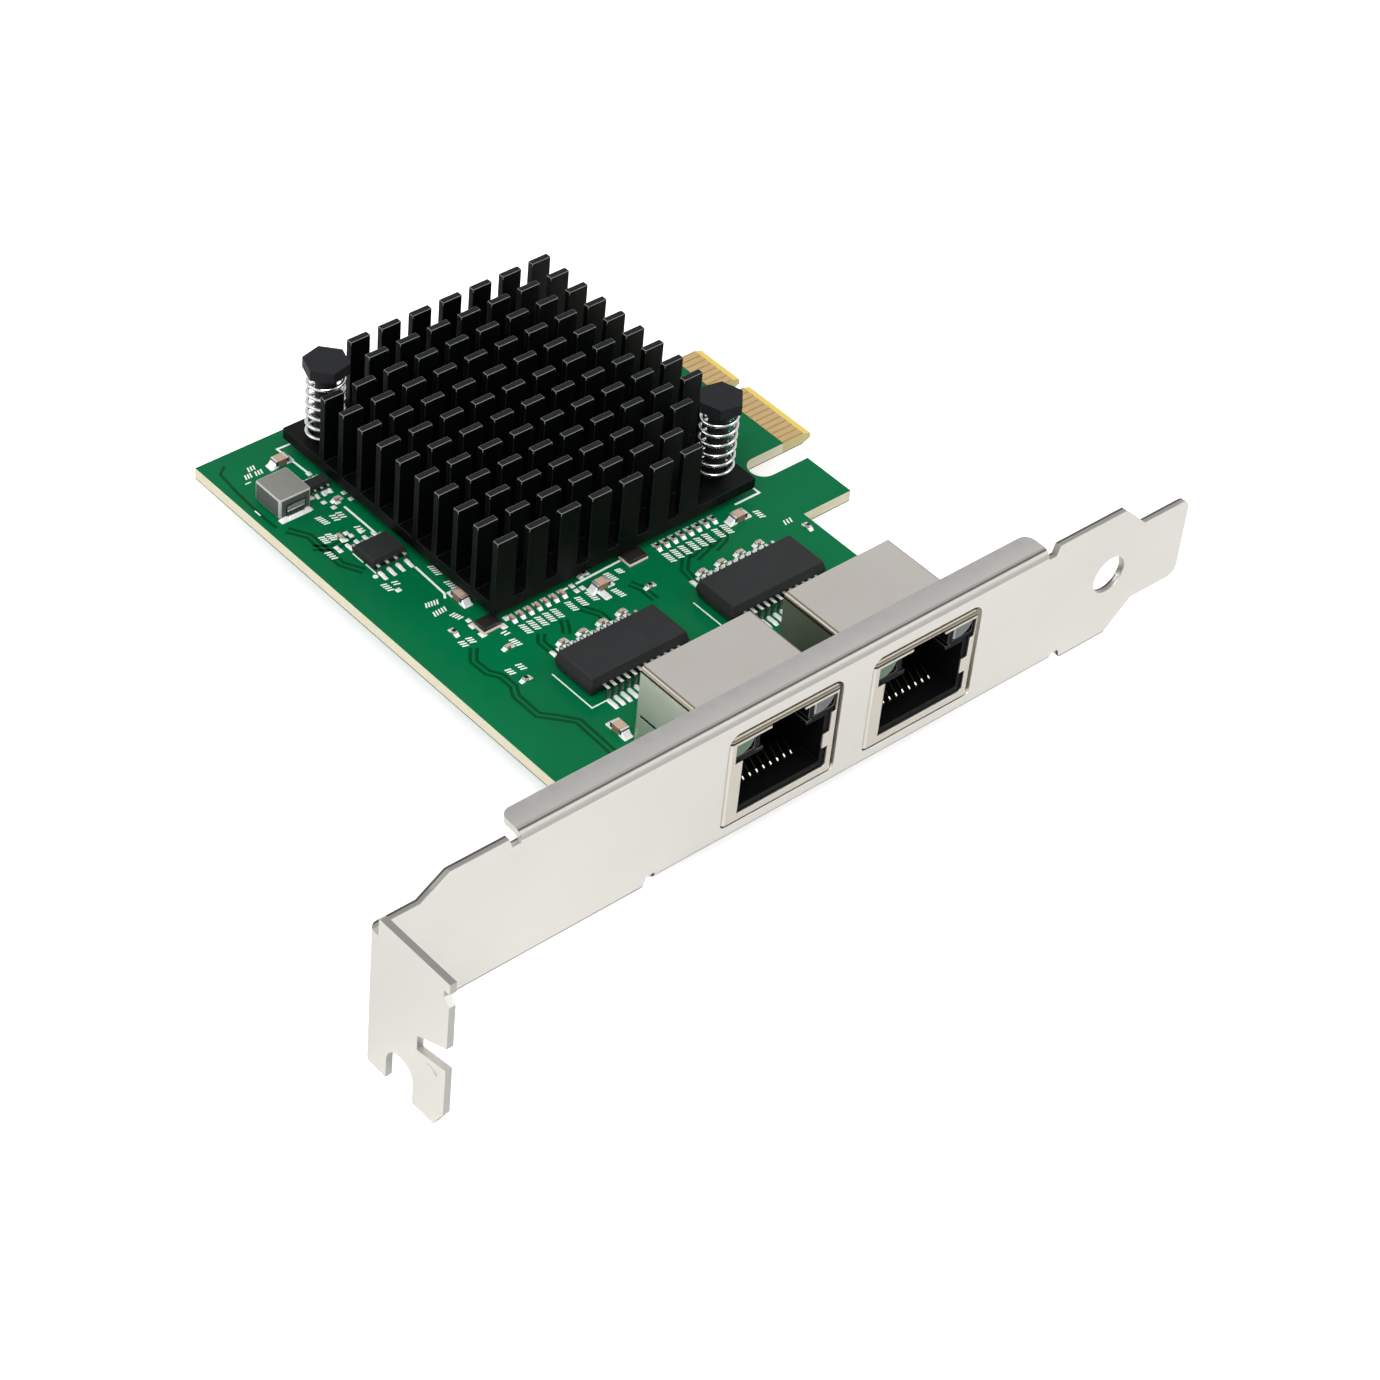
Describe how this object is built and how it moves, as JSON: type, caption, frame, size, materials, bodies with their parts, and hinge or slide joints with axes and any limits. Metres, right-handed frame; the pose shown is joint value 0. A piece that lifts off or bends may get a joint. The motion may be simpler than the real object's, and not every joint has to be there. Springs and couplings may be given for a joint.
{
  "type": "network interface card",
  "caption": "Circuit board with a finned heat sink, shielded network jacks and a one-lane edge connector, on a full-height slot bracket.",
  "frame": {"origin": "corner of the bracket's outer face (Y = 0) and the fixing tab's outer face (X = 0), at the height of the board's component face (Z = 0)", "axes": "+X along the bracket from its fixing tab to its tail, +Y from the bracket into the card, +Z away from the board's component face"},
  "size_m": [0.1201, 0.0945, 0.0215],
  "materials": {
    "bracket_steel": "satin nickel-plated steel",
    "screw_steel": "bright zinc plate",
    "board": "green solder mask over glass-epoxy laminate",
    "gold": "gold plate",
    "black_anodised": "black anodised aluminium, matte",
    "thermal_pad": "soft grey silicone",
    "package": "black moulding compound, matte",
    "pin_nylon": "black nylon",
    "spring_steel": "bright spring wire",
    "jack_plate": "tin plate, satin",
    "jack_plastic": "black thermoplastic",
    "green_light": "translucent green",
    "clear_light": "translucent clear grey",
    "tin": "tin plate",
    "powder_core": "pressed grey powder",
    "ceramic_tray": "dark ceramic",
    "capacitor_ceramic": "tan ceramic",
    "resistor_film": "black glaze over ceramic"
  },
  "bodies": {
    "root": {"bracket": "bracket_steel", "bracket_screws": "screw_steel", "circuit_board": "board", "edge_contacts_front": "gold", "edge_contacts_back": "gold", "heat_sink": "black_anodised", "thermal_pad": "thermal_pad", "controller_chip": "package", "push_pins": "pin_nylon", "push_pin_spring_left": "spring_steel", "push_pin_spring_right": "spring_steel", "flash_memory": "package", "flash_memory_leads": "tin", "regulator": "package", "regulator_leads": "tin", "inductor": "powder_core", "inductor_terminals": "tin", "crystal_trays": "ceramic_tray", "crystal_lids": "tin", "capacitors": "capacitor_ceramic", "capacitor_ends": "tin", "resistors": "resistor_film", "resistor_ends": "tin", "jack_shield_left": "jack_plate", "jack_housing_left": "jack_plastic", "jack_wires_left": "gold", "link_light_left": "green_light", "activity_light_left": "clear_light", "magnetics_left": "package", "magnetics_leads_left": "tin", "jack_shield_right": "jack_plate", "jack_housing_right": "jack_plastic", "jack_wires_right": "gold", "link_light_right": "green_light", "activity_light_right": "clear_light", "magnetics_right": "package", "magnetics_leads_right": "tin"}
  },
  "joints": []
}
